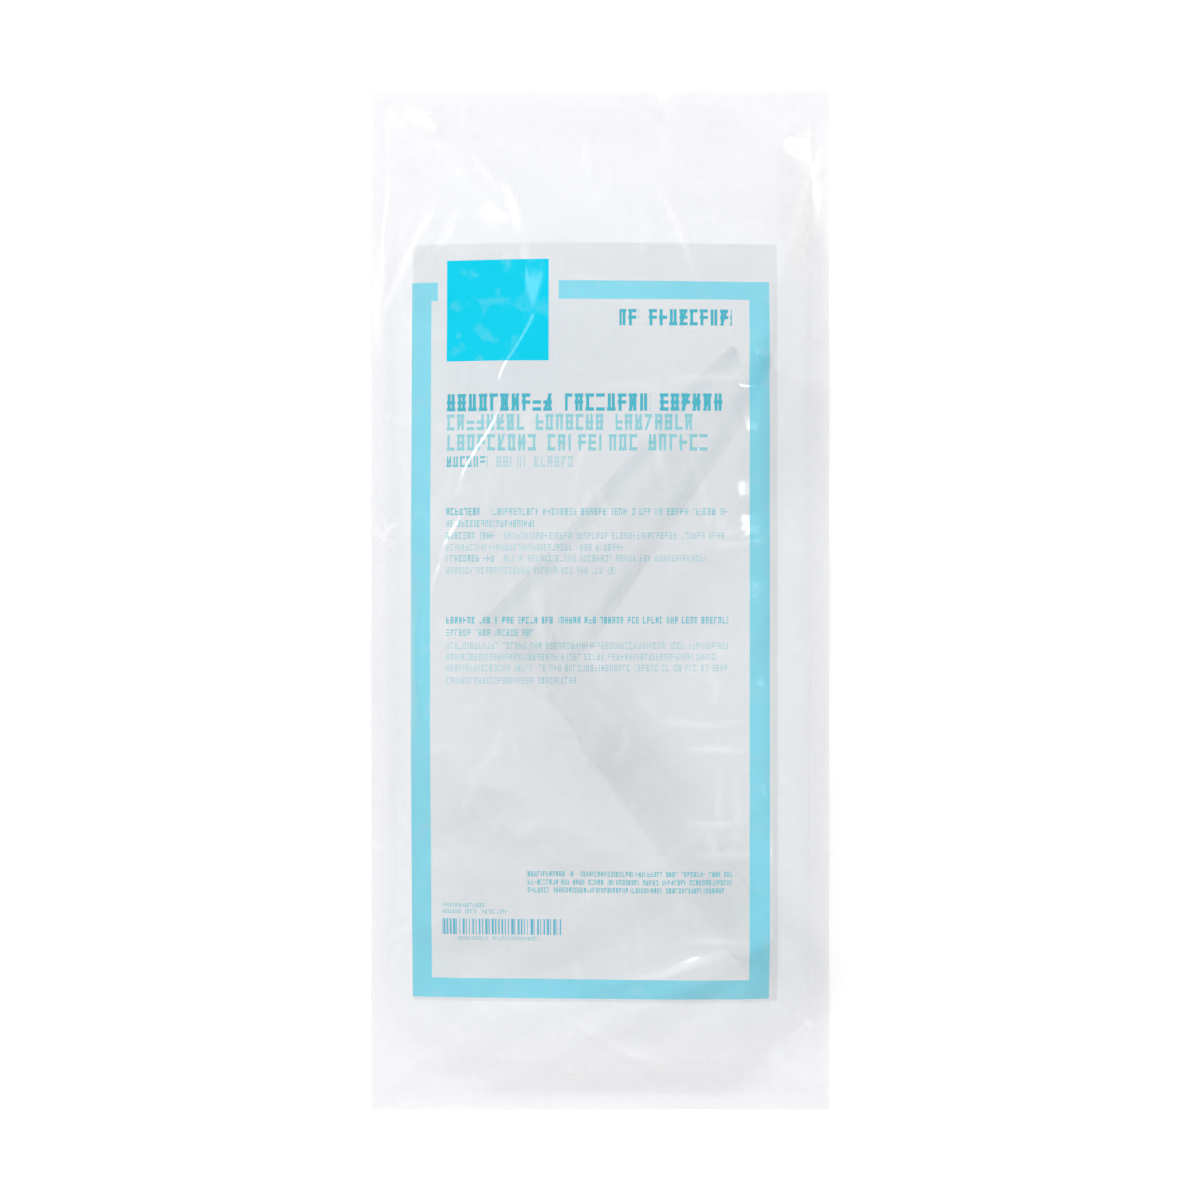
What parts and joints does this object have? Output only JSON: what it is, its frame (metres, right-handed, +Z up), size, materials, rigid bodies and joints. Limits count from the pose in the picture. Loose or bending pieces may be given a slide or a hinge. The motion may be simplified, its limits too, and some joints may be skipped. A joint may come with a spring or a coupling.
{
  "type": "bivalve speculum",
  "caption": "Clear moulded bivalve speculum with ratcheted bills and telescoping handle, lying in its sealed clear film pouch with a peelable printed front.",
  "frame": {"origin": "middle of the underside of the flat pouch", "axes": "+Z up out of the pouch's printed front, +Y along the pouch to the end the bills point to, +X to the right seen from above"},
  "size_m": [0.15, 0.3334, 0.0434],
  "materials": {
    "clear_moulding": "injection-moulded clear polystyrene",
    "pin_moulding": "moulded natural acetal",
    "clear_film": "clear polyethylene film, softly creased",
    "printed_film": "clear polyethylene film printed in pale teal"
  },
  "bodies": {
    "base": {"lower_bill": "clear_moulding", "height_latch": "clear_moulding", "handle_cap": "clear_moulding", "back_film": "clear_film"},
    "slide": {"yoke_slide": "clear_moulding", "angle_pawl": "clear_moulding", "pivot_pin_left": "pin_moulding", "pivot_pin_right": "pin_moulding"},
    "upper": {"upper_bill": "clear_moulding"},
    "cover": {"front_film": "printed_film"}
  },
  "joints": [
    {"name": "height_adjust", "type": "slide", "parent": "base", "child": "slide", "axis": [-0.5755, 0.8178, 0], "range_m": [0, 0.015], "deforming": ["height_latch"]},
    {"name": "blade_opening", "type": "hinge", "parent": "slide", "child": "upper", "pos_m": [-0.01947, -0.01189, 0.0217], "axis": [0, 0, 1], "range_deg": [0, 30], "deforming": ["angle_pawl"]},
    {"name": "film_peel", "type": "hinge", "parent": "base", "child": "cover", "pos_m": [0, -0.16668, 0.0003], "axis": [1, 0, 0], "range_deg": [0, 115], "deforming": ["front_film"]}
  ]
}
